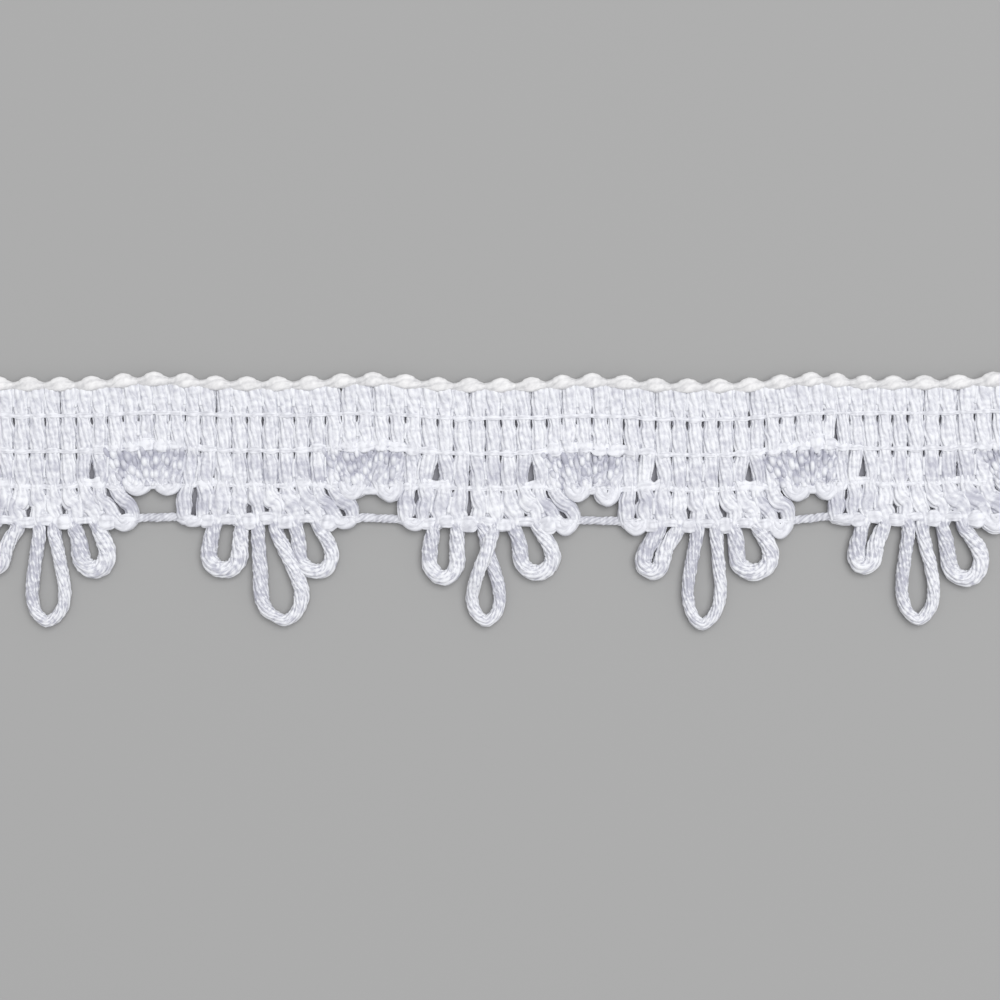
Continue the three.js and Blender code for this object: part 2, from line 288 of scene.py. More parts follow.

# Noise on the yarns: scale round and along a ply, and detail, of its filaments and of its flecks
# The flecks are a random tone, painted darker where the relief is low: painted shade
FILAMENT_SCALE = (4.0, 1.6, 1.0)
FILAMENT_DETAIL = 3.0
FLECK_SCALE = (2.6, 2.2, 1.0)
FLECK_DETAIL = 2.0
FLECK_SHARE = 0.6
FLECK_SHADE = 1.6
FLECK_MIDDLE = 0.55

# Camera: width of the picture at the yarn's height, and the place along the trim at its middle
PHOTO_FRAME = 100.0
PHOTO_MIDDLE_X = 1.775
LENS = 85.0
SENSOR = 36.0

# Nearest distance that the camera sees, floor and light, in metres
CLIP_START = 0.005
FLOOR_HALF = 2.0
FLOOR_GREY = 0.36
FLOOR_ROUGHNESS = 1.0
DOME_STRENGTH = 0.55
SOFT_BOX_WATTS = 8.4
SOFT_BOX_SIZE = 1.0
SOFT_BOX_PLACE = (0.25, 0.22, 1.0)


def table(names, *rows):
    """Names the columns of a short table."""
    return [dict(zip(names.split(), row)) for row in rows]


# How far each scallop wanders up and along from an even trim
SCALLOPS = table(
    "lift shift",
    (0.0, 0.0),
    (0.1, -0.1),
    (-0.2, 0.3),
    (-0.35, 0.2),
    (0.3, -1.2),
)

# Picot loops: centre line, along from the scallop's middle and down from the bottom chain, and half width
LOOPS = table(
    "scallop first_root second_root first_belly second_belly belly_drop tip tip_drop half",
    (0, -5.3, -2.7, -6.1, -4.2, 3.8, -5.3, 5.15, 0.8),
    (0, -0.6, 0.9, -1.3, 1.95, 7.7, 0.2, 10.2, 0.66),
    (0, 2.9, 5.2, 3.55, 6.2, 3.4, 4.9, 5.35, 0.95),
    (1, -4.9, -2.2, -5.5, -2.4, 3.5, -4.0, 5.3, 0.88),
    (1, -0.6, 1.2, -0.25, 3.8, 7.6, 2.2, 10.05, 0.8),
    (1, 3.2, 5.5, 3.6, 6.8, 3.5, 5.4, 5.35, 0.75),
    (2, -4.8, -2.5, -5.3, -2.5, 3.9, -3.8, 6.05, 0.82),
    (2, -0.05, 1.25, 1.75, -1.0, 8.0, 0.45, 10.15, 0.66),
    (2, 3.2, 5.5, 3.85, 7.05, 3.7, 5.5, 5.55, 0.82),
    (3, -4.0, -2.1, -5.75, -3.9, 4.2, -4.8, 5.45, 0.88),
    (3, -0.3, 1.5, -1.3, 1.95, 7.4, 0.1, 10.5, 0.64),
    (3, 3.3, 5.6, 3.6, 7.0, 3.5, 5.3, 5.55, 0.88),
    (4, -5.7, -3.5, -6.3, -4.6, 3.6, -5.6, 4.9, 0.92),
    (4, -1.1, 0.3, -1.75, 1.45, 7.2, -0.1, 10.0, 0.66),
    (4, 2.3, 4.4, 2.9, 6.2, 3.9, 4.7, 6.15, 0.84),
)

# Turns at the two ends of each fan: middle of the turn, and reach of its yarn below the bottom chain
FAN_TURNS = table(
    "left left_drop right right_drop",
    (-6.9, 0.8, 7.9, 1.2),
    (-7.0, 0.8, 8.1, 1.0),
    (-6.7, 1.0, 8.3, 1.4),
    (-6.5, 1.3, 7.9, 1.7),
    (-7.4, 0.3, 7.6, 1.5),
)

# Turns at each gap: middle of each turn, and reach of its yarn and of the notch below the third chain
GAP_TURNS = table(
    "left left_drop right right_drop notch",
    (-1.6, 1.2, 1.6, 1.2, 0.5),
    (-1.65, 0.95, 1.35, 0.95, 0.34),
    (-2.1, 1.35, 1.7, 1.5, 0.8),
    (-1.4, 1.3, 1.6, 1.7, 0.58),
    (-1.3, 1.4, 1.7, 1.4, 0.72),
    (-1.6, 1.3, 1.6, 1.3, 0.5),
)

# Slits that stand open in the two lower stretches: boundary, half the slit's width at its top and below
OPEN_SLITS = {
    "bc": {
        4: (0.02, 0.22), 10: (0.1, 0.2), 18: (-0.1, 0.03), 32: (0.1, 0.36),
        34: (-0.03, 0.0), 38: (0.1, 0.28), 46: (0.1, 0.27), 50: (-0.05, 0.0),
        52: (0.1, 0.29), 60: (0.1, 0.34), 66: (0.0, 0.08),
    },
    "cd": {
        6: (-0.2, 0.14), 8: (-0.2, 0.12), 11: (0.32, 0.36), 17: (0.18, 0.15),
        20: (-0.1, 0.15), 21: (-0.2, 0.12), 25: (0.24, 0.28), 31: (0.1, -0.1),
        34: (0.1, 0.24), 37: (-0.2, 0.12), 39: (0.24, 0.28), 45: (0.1, -0.1),
        48: (-0.1, 0.17), 50: (0.0, 0.28), 53: (-0.1, 0.15), 59: (0.08, -0.1),
        62: (-0.1, 0.17), 64: (-0.2, 0.18),
    },
}

# Slits between the first two chains, and those under the plain edge: boundary, half the slit's width
OPEN_UPPER = {44: -0.04, 58: 0.04}
OPEN_TOPS = {8: -0.02, 18: -0.06, 28: -0.06, 34: -0.07, 38: -0.05, 64: -0.04, 66: -0.06}
OPEN_TOPS.update({boundary: -0.09 for boundary in (26, 40, 42, 46, 52)})

# How tightly the columns press together elsewhere
TIGHT = -0.3
TIGHT_SPREAD = 0.23
FAN_TIGHT = -0.15
FAN_TIGHT_SPREAD = 0.05

# Stretches between rows, t being the plain edge: share of the way to the third chain, and on to the bottom
STRETCHES = {
    "ta": (0.0, 0.0),
    "ab": (0.0, 0.0),
    "bc_top": (0.25, 0.0),
    "bc_middle": (0.5, 0.0),
    "bc": (0.75, 0.0),
    "c": (1.0, 0.0),
    "cd_top": (1.0, 0.33),
    "cd": (1.0, 0.67),
    "d": (1.0, 1.0),
}
LOW_STRETCHES = ("cd_top", "cd", "d")

# Columns round each gap sink in and twist between the second and third chains: three shades down, and lay
LEAF_DROP = 0.15
LEAF_THINNING = 3
LEAF = {
    11: (0.45, 0.25, -0.1, LAY_COLUMN),
    12: (0.5, 0.45, 0.1, LAY_LEAF),
    13: (0.5, 0.5, 0.35, LAY_LEAF),
    0: (0.5, 0.45, 0.35, -LAY_LEAF),
    1: (0.4, 0.35, 0.25, -LAY_LEAF),
    2: (0.2, 0.15, 0.1, LAY_COLUMN),
}

# Lumps of the bottom chain on each fan: boundary, share of the thread's size, drop
LUMPS = table(
    "boundary size drop",
    (2.6, 1.5, 0.05),
    (4, 2.5, 0.25),
    (5, 1.9, 0.0),
    (6, 2.6, 0.25),
    (7, 1.9, 0.0),
    (8, 2.5, 0.25),
    (9, 1.9, 0.0),
    (10, 2.6, 0.3),
    (11.4, 1.5, 0.05),
)

# One bump of the plain edge: columns from its boundary, rise from the edge line, height, share of full size
BUMP = table(
    "along rise height size",
    (-1.25, -0.4, 0.95, 0.55),
    (-0.95, -0.36, 1.08, 0.65),
    (-0.6, -0.34, 1.15, 0.85),
    (-0.3, -0.24, 1.22, 1.15),
    (0.0, -0.2, 1.26, 1.28),
    (0.3, -0.24, 1.22, 1.15),
    (0.6, -0.34, 1.15, 0.85),
    (0.95, -0.38, 1.05, 0.65),
)

# One crescent of a lower turn: share of the way to its legs, share of its drop, height, share of full size
CRESCENT = table(
    "out down height size",
    (-1.4, -0.6, 0.85, 0.7),
    (-0.95, 0.5, 0.95, 1.0),
    (0.0, 1.0, 1.0, 1.15),
    (0.95, 0.5, 0.95, 1.0),
    (1.4, -0.6, 0.85, 0.7),
)


# Unevenness


def seeded(name, step=0):
    return np.random.default_rng(SEEDS[name] + step)


def pinches():
    """How far each chain row draws the yarn in at each boundary; the top of a wedge slit is shut."""
    drawn = seeded("pinch").uniform(0.0, PINCHES, (ALL_COLUMNS + 1, len(PINCHES)))
    for boundary in OPEN_SLITS["bc"]:
        drawn[boundary, CHAIN_ROWS.index("b")] = WEDGE_SHUT
    return drawn


def drift(travelled, rng, wavelengths):
    """Slow seeded wobble of about unit size along a length."""
    total = np.zeros_like(travelled)
    for _ in range(DRIFT_WAVES):
        wavelength = rng.uniform(*wavelengths)
        total += np.sin(FULL_TURN * (travelled / wavelength + rng.uniform()))
    return total / math.sqrt(DRIFT_WAVES)


# Looseness of each boundary in two stretches, pinch at four chains, and shade of a column in four places
LOOSENESS = seeded("looseness").uniform(0.0, 1.0, (ALL_COLUMNS + 1, 2))
PINCH = pinches()
BLOTCH = seeded("blotch").normal(0.0, SHADE_SPREAD, (ALL_COLUMNS, 4))


# Lines of the trim


def smoothstep(value):
    share = min(max(value, 0.0), 1.0)
    return share * share * (3.0 - 2.0 * share)


def along_trim(place):
    repeat = min(int(place // COLUMNS), REPEATS - 1)
    share = place / COLUMNS - repeat
    wander = SCALLOPS[repeat]["shift"] * math.sin(math.pi * share)
    return place * PITCH - LENGTH / 2 + wander


def lift_at(place):
    """How far the trim wanders up or down, smoothly from one scallop's middle to the next."""
    scallop = min(max(place / COLUMNS - 0.5, 0.0), REPEATS - 1.0)
    before = int(scallop)
    after = min(before + 1, REPEATS - 1)
    share = smoothstep(scallop - before)
    return SCALLOPS[before]["lift"] * (1 - share) + SCALLOPS[after]["lift"] * share


def gap_share(place):
    """1 at the middle of a gap, 0 at the middle of a scallop."""
    return ((1 + math.cos(FULL_TURN * place / COLUMNS)) / 2) ** 2


def row_line(line, bow, place):
    return line + bow * gap_share(place) + lift_at(place)


def edge_line(place):
    return EDGE_LINE + EDGE_BOW * gap_share(place) + EDGE_LIFT_SHARE * lift_at(place)


def scallop_middle(scallop):
    return (scallop + 0.5) * REPEAT - LENGTH / 2


def gap_middle(gap):
    return gap * REPEAT - LENGTH / 2


# Curves


def spline(points, step):
    """Smooth curve through rows of numbers, the first three of them a place, sampled every step."""
    points = np.asarray(points, float)
    spans = np.linalg.norm(np.diff(points[:, :3], axis=0), axis=1)
    reach = np.concatenate([[0.0], np.cumsum(spans)])
    slopes = np.gradient(points, reach, axis=0)
    count = max(2, int(round(reach[-1] / step)) + 1)
    places = np.linspace(0.0, reach[-1], count)
    span = np.clip(np.searchsorted(reach, places, side="right") - 1, 0, len(points) - 2)
    width = spans[span][:, None]
    share = ((places - reach[span]) / spans[span])[:, None]
    start = (1 + 2 * share) * (1 - share) ** 2
    leave = share * (1 - share) ** 2
    end = share**2 * (3 - 2 * share)
    arrive = share**2 * (share - 1)
    smooth = (
        start * points[span]
        + leave * width * slopes[span]
        + end * points[span + 1]
        + arrive * width * slopes[span + 1]
    )
    level = points[span] * (1 - end) + points[span + 1] * end
    return np.concatenate([smooth[:, :3], level[:, 3:]], axis=1)


def straight(start, end):
    """Points on a straight line from one place to another."""
    start = np.array(start)
    end = np.array(end)
    count = max(2, int(np.linalg.norm(end - start) / PLY_STEP))
    share = np.linspace(0.0, 1.0, count)
    return start + (end - start) * share[:, None]


def unit(vectors):
    return vectors / np.maximum(np.linalg.norm(vectors, axis=1, keepdims=True), TINY)


def distance_along(path):
    spans = np.linalg.norm(np.diff(path, axis=0), axis=1)
    return np.concatenate([[0.0], np.cumsum(spans)])


def sides_along(path):
    """Level and upward directions square to a path."""
    forward = unit(np.gradient(path, axis=0))
    across = unit(np.cross((0.0, 0.0, 1.0), forward))
    return across, np.cross(forward, across)


def turns_along(travelled, lay):
    """Angle wound so far, one turn for each lay."""
    turns = np.diff(travelled) * (1 / lay[1:] + 1 / lay[:-1]) / 2
    return FULL_TURN * np.concatenate([[0.0], np.cumsum(turns)])


def rounded(turn, roundness):
    """A sine or cosine, pushed out where the roundness is under 1, so that a bundle fills its corners."""
    return np.sign(turn) * np.abs(turn) ** roundness[:, None]


# Yarns


def lobes(travelled, lay, groove, grain, plies, rng):
    """Angle, swell, and tone with painted light and shade, of each ply of a rope, at each point along it."""
    spacing = FULL_TURN / plies
    turned = turns_along(travelled, lay)
    crests = []
    swells = []
    tones_and_shades = []
    for ply in range(plies):
        crests.append(spacing * ply - turned + PLY_WANDER * spacing * drift(travelled, rng, PLY_DRIFT))
        slow = PLY_WANDER * drift(travelled, rng, SWELL_DRIFT)
        grain_length = rng.uniform(*GRAIN_LENGTHS)
        start = rng.uniform()
        phase = travelled / grain_length + start + GRAIN_SHIFT * drift(travelled, rng, GRAIN_DRIFT)
        grains = grain * np.sin(FULL_TURN * phase)
        swells.append(1 + groove * slow + GRAIN_SWELL * grains)
        # random whiteness of the ply, with painted light on each grain's swell and painted shade between
        tones_and_shades.append(PLY_TINT * rng.uniform() - GRAIN_LIGHT_AND_SHADE * grains)
    return np.stack(crests, axis=1), np.stack(swells, axis=1), np.stack(tones_and_shades, axis=1)


class YarnMesh:
    """Collects tubes, with their UVs in turns around and millimetres along, into one mesh."""

    def __init__(self):
        self.vertices = []
        self.quads = []
        self.caps = []
        self.quad_uvs = []
        self.cap_uvs = []
        self.tones_and_shades = []
        self.fleck_shades = []
        self.count = 0

    def skin(self, rings, turns, travelled, tones_and_shades, fleck_shades):
        """A closed tube through rings of corners."""
        count, sides = rings.shape[:2]
        ring, side = np.meshgrid(np.arange(count - 1), np.arange(sides), indexing="ij")
        ring = ring.ravel()
        side = side.ravel()
        after = (side + 1) % sides
        here = ring * sides + self.count
        there = here + sides
        self.quads.append(np.stack([here + side, here + after, there + after, there + side], axis=1))
        pairs = (
            (turns[side], travelled[ring]),
            (turns[side + 1], travelled[ring]),
            (turns[side + 1], travelled[ring + 1]),
            (turns[side], travelled[ring + 1]),
        )
        self.quad_uvs.append(np.stack([np.stack(pair, axis=1) for pair in pairs], axis=1))
        fan = np.arange(1, sides - 1)
        first = np.zeros_like(fan)
        last = first + (count - 1) * sides
        self.caps.append(np.stack([first, fan + 1, fan], axis=1) + self.count)
        self.caps.append(np.stack([last, last + fan, last + fan + 1], axis=1) + self.count)
        for place in (0.0, travelled[-1]):
            self.cap_uvs.append(np.tile((turns[0], place), (len(fan), 3, 1)))
        rings[:, :, 2] = np.maximum(rings[:, :, 2], FLOOR_CLEAR)
        self.vertices.append(rings.reshape(-1, 3))
        self.tones_and_shades.append(tones_and_shades.ravel())
        self.fleck_shades.append(np.repeat(fleck_shades, sides))
        self.count += count * sides

    def tube(self, path, radii, sides, shade, rng):
        """One round strand, with its radius and shade at each point."""
        across, above = sides_along(path)
        angles = FULL_TURN * np.arange(sides) / sides
        wide = np.cos(angles)[None, :, None] * across[:, None, :]
        high = np.sin(angles)[None, :, None] * above[:, None, :]
        rings = path[:, None, :] + radii[:, None, None] * (wide + high)
        turns = rng.uniform(0.0, UV_RANGE) + np.arange(sides + 1) / sides
        tones_and_shades = shade[:, None] + PLY_TINT * rng.uniform() + np.zeros(sides)
        self.skin(rings, turns, distance_along(path), tones_and_shades, np.ones(len(path)))

    def rope(self, path, halves, lay, shade, finish, plies, rng):
        """A bundle of plies pressed together: a tube whose lobes wind round the path.

        Half width, half height, lay, shade and the five values of the finish are given at each point. The
        groove is a share of the half sizes, and each groove is painted darker, as painted shade.
        """
        half_width, half_height = halves
        groove, grain, roundness, fleck_shade, crown_shade = finish
        travelled = distance_along(path)
        across, above = sides_along(path)
        crest, swell, tone_and_shade = lobes(travelled, lay, groove, grain, plies, rng)
        next_crest = np.concatenate([crest[:, 1:], crest[:, :1] + FULL_TURN], axis=1)
        next_swell = np.roll(swell, -1, axis=1)
        tone_and_shade = tone_and_shade + shade[:, None]
        next_tone_and_shade = np.roll(tone_and_shade, -1, axis=1)
        angles = []
        heights = []
        tones_and_shades = []
        # each corner is painted darker by the depth of its groove: painted shade
        for share, depth in ROPE_PROFILE:
            angles.append(crest + (next_crest - crest) * share)
            heights.append(swell + (next_swell - swell) * share - groove[:, None] * depth)
            tones_and_shades.append(tone_and_shade + (next_tone_and_shade - tone_and_shade) * share + GROOVE_SHADE * depth)
        corners = len(ROPE_PROFILE)
        shape = (len(path), plies * corners)
        angle = np.stack(angles, axis=2).reshape(shape)
        height = np.stack(heights, axis=2).reshape(shape)
        corner_tones_and_shades = np.stack(tones_and_shades, axis=2).reshape(shape)
        # painted shade on the upper side of the yarn
        corner_tones_and_shades += crown_shade[:, None] * np.maximum(np.sin(angle), 0.0)
        wide = half_width[:, None] * height * rounded(np.cos(angle), roundness)
        high = half_height[:, None] * height * rounded(np.sin(angle), roundness)
        rings = path[:, None, :] + wide[:, :, None] * across[:, None, :]
        rings = rings + high[:, :, None] * above[:, None, :]
        turns = rng.uniform(0.0, UV_RANGE) + np.arange(plies * corners + 1) / corners
        self.skin(rings, turns, travelled, corner_tones_and_shades, fleck_shade)

    def plain_rope(self, path, halves, lay, shade, groove, grain, plies, rng):
        """A rope that is round in section, evenly flecked with painted shade, and with no painted shade on
        top.
        """
        level = np.ones(len(path))
        finish = (groove * level, grain * level, level, level, 0.0 * level)
        self.rope(path, halves, lay * level, shade * level, finish, plies, rng)

    def build(self, name, material):
        vertices = np.concatenate(self.vertices) * MM
        quads = np.concatenate(self.quads)
        caps = np.concatenate(self.caps)
        corners = np.concatenate([quads.ravel(), caps.ravel()]).astype(np.int32)
        quad_starts = np.arange(len(quads)) * 4
        cap_starts = len(quads) * 4 + np.arange(len(caps)) * 3
        starts = np.concatenate([quad_starts, cap_starts]).astype(np.int32)
        quad_uvs = np.concatenate(self.quad_uvs).reshape(-1, 2)
        cap_uvs = np.concatenate(self.cap_uvs).reshape(-1, 2)
        mesh = bpy.data.meshes.new(name)
        mesh.vertices.add(len(vertices))
        mesh.vertices.foreach_set("co", vertices.astype(np.float32).ravel())
        mesh.loops.add(len(corners))
        mesh.loops.foreach_set("vertex_index", corners)
        mesh.polygons.add(len(starts))
        mesh.polygons.foreach_set("loop_start", starts)
        mesh.update(calc_edges=True)
        mesh.validate()
        layer = mesh.uv_layers.new(name="yarn")
        layer.data.foreach_set("uv", np.concatenate([quad_uvs, cap_uvs]).astype(np.float32).ravel())
        mesh.polygons.foreach_set("use_smooth", np.ones(len(starts), bool))
        # The first attribute holds each point's random tone together with its painted shade and painted
        # light
        for key, values in (("tone_and_shade", self.tones_and_shades), ("fleck_shade", self.fleck_shades)):
            attribute = mesh.attributes.new(key, "FLOAT", "POINT")
            attribute.data.foreach_set("value", np.concatenate(values).astype(np.float32))
        return piece(name, mesh, material)


def piece(name, mesh, material):
    made = bpy.data.objects.new(name, mesh)
    bpy.context.collection.objects.link(made)
    mesh.materials.append(material)
    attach(made, BODY)
    return made


# Materials


def new_material(name, color, roughness):
    material = bpy.data.materials.new(name)
    material.use_nodes = True
    shader = material.node_tree.nodes["Principled BSDF"]
    shader.inputs["Base Color"].default_value = (*color, 1.0)
    shader.inputs["Roughness"].default_value = roughness
    return material, shader


def yarn_material(name):
    """Plied yarn: each ply has fine filaments, flecks of its twist in painted shade and a whiteness of its
    own.
    """
    light_color, shade_color, roughness, relief = YARNS[name]
    material, shader = new_material(name, light_color, roughness)
    nodes = material.node_tree.nodes
    links = material.node_tree.links

    def node(kind, **settings):
        made = nodes.new(kind)
        for key, value in settings.items():
            setattr(made, key, value)
        return made

    def noise(scale, detail):
        mapping = node("ShaderNodeMapping")
        mapping.inputs["Scale"].default_value = scale
        links.new(uv.outputs["UV"], mapping.inputs["Vector"])
        made = node("ShaderNodeTexNoise")
        made.inputs["Scale"].default_value = 1.0
        made.inputs["Detail"].default_value = detail
        links.new(mapping.outputs["Vector"], made.inputs["Vector"])
        return made.outputs["Fac"]

    uv = node("ShaderNodeUVMap", uv_map="yarn")
    tone_and_shade = node("ShaderNodeAttribute", attribute_name="tone_and_shade")
    fleck_shade = node("ShaderNodeAttribute", attribute_name="fleck_shade")
    height = node("ShaderNodeMix", data_type="FLOAT")
    height.inputs["Factor"].default_value = FLECK_SHARE
    links.new(noise(FILAMENT_SCALE, FILAMENT_DETAIL), height.inputs["A"])
    links.new(noise(FLECK_SCALE, FLECK_DETAIL), height.inputs["B"])
    bump = node("ShaderNodeBump")
    bump.inputs["Distance"].default_value = relief * MM
    links.new(height.outputs["Result"], bump.inputs["Height"])
    links.new(bump.outputs["Normal"], shader.inputs["Normal"])
    # flecks darker where the relief is low: painted shade over a random tone
    mottled_shade = node("ShaderNodeMath", operation="MULTIPLY_ADD")
    mottled_shade.inputs[1].default_value = -FLECK_SHADE
    mottled_shade.inputs[2].default_value = FLECK_SHADE * FLECK_MIDDLE
    links.new(height.outputs["Result"], mottled_shade.inputs[0])
    shaded = node("ShaderNodeMath", operation="MULTIPLY_ADD")
    links.new(mottled_shade.outputs["Value"], shaded.inputs[0])
    links.new(fleck_shade.outputs["Fac"], shaded.inputs[1])
    links.new(tone_and_shade.outputs["Fac"], shaded.inputs[2])
    blend = node("ShaderNodeMix", data_type="RGBA")
    blend.inputs["A"].default_value = (*light_color, 1.0)
    blend.inputs["B"].default_value = (*shade_color, 1.0)
    links.new(shaded.outputs["Value"], blend.inputs["Factor"])
    links.new(blend.outputs["Result"], shader.inputs["Base Color"])
    shader.inputs["Sheen Weight"].default_value = SHEEN
    shader.inputs["Sheen Roughness"].default_value = SHEEN_ROUGHNESS
    return material


# Places of the columns


def loop_at(index):
    """The picot loop that a column runs into."""
    repeat, column = divmod(index, COLUMNS)
    return LOOPS[LOOPS_EACH * repeat + (column - LOOP_FIRST) // 2]


def turn_at(index):
    """Middle and reach of the turn that a column beside a gap, or at the end of a fan, runs into."""
    repeat, column = divmod(index, COLUMNS)
    left_half = column < COLUMNS / 2
    if column in LEAF_COLUMNS:
        gap = repeat if left_half else repeat + 1
        side = "right" if left_half else "left"
        return gap_middle(gap) + GAP_TURNS[gap][side], GAP_TURNS[gap][side + "_drop"]
    side = "left" if left_half else "right"
    return scallop_middle(repeat) + FAN_TURNS[repeat][side], FAN_TURNS[repeat][side + "_drop"]


def column_anchor(index):
    """Where a column stands at the upper rows, at the third chain and at the bottom one."""
    repeat, column = divmod(index, COLUMNS)
    upper = along_trim(index + 0.5)
    third = upper
    bottom = upper
    step = PITCH / 2 if column % 2 else -PITCH / 2
    if column in LEAF_COLUMNS:
        third = turn_at(index)[0] + step
    elif column in BESIDE_LEAF:
        bottom = turn_at(index)[0] + step
        if column < COLUMNS / 2:
            third = upper + LEFT_LEAN * (bottom - upper)
    else:
        root = "second_root" if column % 2 else "first_root"
        bottom = scallop_middle(repeat) + loop_at(index)[root]
    return upper, third, bottom


def column_middle(index, stretch):
    upper, third, bottom = column_anchor(index)
    to_third, to_bottom = STRETCHES[stretch]
    return upper + (third - upper) * to_third + (bottom - third) * to_bottom


def column_boundary(index, stretch):
    """The line between a column and the one before it; the outer columns of a fan have free sides."""
    in_repeat = index % COLUMNS
    low_stretch = stretch in LOW_STRETCHES
    if index == 0 or (low_stretch and in_repeat == FAN_FIRST):
        return column_middle(index, stretch) - PITCH / 2
    if index == ALL_COLUMNS or (low_stretch and in_repeat == FAN_LAST + 1):
        return column_middle(index - 1, stretch) + PITCH / 2
    return (column_middle(index - 1, stretch) + column_middle(index, stretch)) / 2


def slit_half(index, stretch):
    """Half the width of the slit at a boundary, under 0 where the columns press together."""
    slits = OPEN_SLITS.get(stretch[:2], {})
    if index in slits:
        top, low = slits[index]
        return top if stretch.endswith("_top") else low
    if stretch == "ta":
        return OPEN_TOPS.get(index, TIGHT)
    if stretch.startswith("cd"):
        return TIGHT
    if stretch != "ab":
        return TIGHT + TIGHT_SPREAD * LOOSENESS[index, 1]
    if index in OPEN_UPPER:
        return OPEN_UPPER[index]
    if index % COLUMNS in FAN_BOUNDARIES:
        return FAN_TIGHT + FAN_TIGHT_SPREAD * LOOSENESS[index, 0]
    return TIGHT + TIGHT_SPREAD * LOOSENESS[index, 0]


def bundle(index, stretch):
    """Middle and half width of a column's yarn in a stretch, where it swells between two chains."""
    left = column_boundary(index, stretch) + slit_half(index, stretch)
    right = column_boundary(index + 1, stretch) - slit_half(index + 1, stretch)
    return (left + right) / 2, (right - left) / 2


# Filling yarn: control rows of x, y, z, half width, half height, lay, shade and the five values of a finish


def column_rows(index, rng):
    """One column from the plain edge down to where it turns."""
    column = index % COLUMNS
    place = index + 0.5
    edge = edge_line(place)
    lines = {
        "a": row_line(ROW_A, ROW_A_BOW, place),
        "b": row_line(ROW_B, ROW_B_BOW, place),
        "c": ROW_C + lift_at(place),
        "d": ROW_D + lift_at(place),
    }
    rows = []

    def loose(stretch, y, drop=0.0, lay=LAY_COLUMN, shade=0.0, finish=COLUMN_FINISH):
        x, half = bundle(index, stretch)
        shaken = rng.normal(0.0, COLUMN_SHAKE, 2)
        middle = (x + shaken[0], y, YARN_HEIGHT - drop + shaken[1])
        rows.append((*middle, half, HALF_HEIGHT - drop / LEAF_THINNING, lay, shade, *finish))

    def bound(stretch, row):
        chain_row = CHAIN_ROWS.index(row)
        left = column_boundary(index, stretch) + PINCH[index, chain_row]
        right = column_boundary(index + 1, stretch) - PINCH[index + 1, chain_row]
        middle = ((left + right) / 2, lines[row] - PINCH_DROPS[chain_row], YARN_HEIGHT)
        rows.append((*middle, (right - left) / 2, HALF_HEIGHT_BOUND, LAY_COLUMN, 0.0, *COLUMN_FINISH))

    neck = (column_middle(index, "ta"), edge - NECK_TUCK, NECK_HEIGHT)
    rows.append((*neck, *NECK_HALVES, LAY_COLUMN, 0.0, *COLUMN_FINISH))
    loose("ta", edge - COLUMN_TUCK)
    loose("ta", lines["a"] + BIND_REACH)
    bound("ab", "a")
    loose("ab", lines["a"] - BIND_REACH)
    loose("ab", lines["b"] + BIND_REACH)
    bound("ab", "b")
    if column in LEAF:
        upper, middle, lower, lay = LEAF[column]
        half_way = (lines["b"] + lines["c"]) / 2
        loose("bc_top", lines["b"] - BIND_REACH / 2, LEAF_DROP, lay, upper, LEAF_FINISH)
        loose("bc_middle", half_way, LEAF_DROP, lay, middle, LEAF_FINISH)
        loose("bc", lines["c"] + BIND_REACH / 2, LEAF_DROP / 2, lay, lower, LEAF_FINISH)
    else:
        loose("bc_top", lines["b"] - BIND_REACH, shade=LOW_SHADE + BLOTCH[index, 0])
        loose("bc", lines["c"] + THIRD_REACH, shade=LOW_SHADE + BLOTCH[index, 1])
    bound("c", "c")
    if column not in LEAF_COLUMNS:
        shade = FAN_END_SHADES.get(column, FAN_SHADE)
        loose("cd_top", lines["c"] - BIND_REACH, shade=shade + BLOTCH[index, 2])
        loose("cd", lines["d"] + BIND_REACH, shade=shade + BLOTCH[index, 3])
        bound("d", "d")
    return rows


def turn_rows(left, right, line, drop):
    """A U below a line, from a left leg to a right one; drop is to the outer side of its yarn."""
    middle = (left + right) / 2
    half = (right - left) / 2
    half_width = min(max(TURN_HALF_SHARE * drop, TURN_HALF_LEAST), TURN_HALF_MOST)
    reach = max(drop - half_width, TURN_REACH_LEAST)
    side = math.sqrt(0.5)
    rows = []
    for across, down in ((-side, side), (0.0, 1.0), (side, side)):
        place = (middle + across * half, line - down * reach, YARN_HEIGHT)
        rows.append((*place, half_width, HALF_HEIGHT_BOUND, LAY_COLUMN, 0.0, *COLUMN_FINISH))
    return rows


